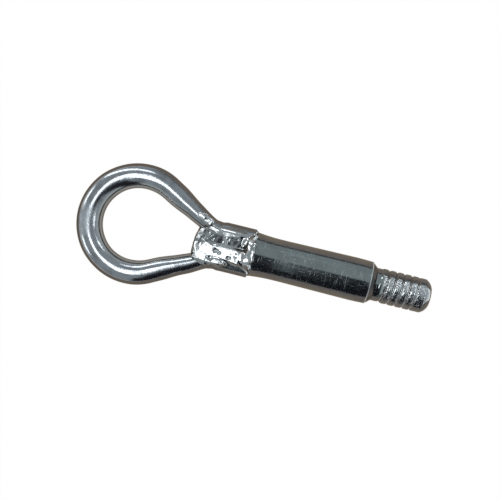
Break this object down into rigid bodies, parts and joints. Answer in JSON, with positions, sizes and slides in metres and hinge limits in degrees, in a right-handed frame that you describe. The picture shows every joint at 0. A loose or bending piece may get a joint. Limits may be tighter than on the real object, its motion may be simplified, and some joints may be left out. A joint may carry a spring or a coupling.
{
  "type": "tow eye",
  "caption": "Screw-in tow eye: a pear-shaped loop of bent round bar welded to a plated shank with a coarse left-hand thread.",
  "frame": {"origin": "on the shank axis, where the thread begins", "axes": "+X along the shank axis toward the thread tip, the eye lies in the XY plane on the -X side, +Z square to the plane of the eye"},
  "size_m": [0.1875, 0.0636, 0.0242],
  "materials": {
    "bar_zinc": "bright zinc plate",
    "shank_zinc": "bright zinc plate, fine scratches",
    "weld_zinc": "bright zinc plate over rippled weld"
  },
  "bodies": {
    "root": {"eye_bar": "bar_zinc", "threaded_shank": "shank_zinc", "weld_bead": "weld_zinc"}
  },
  "joints": []
}
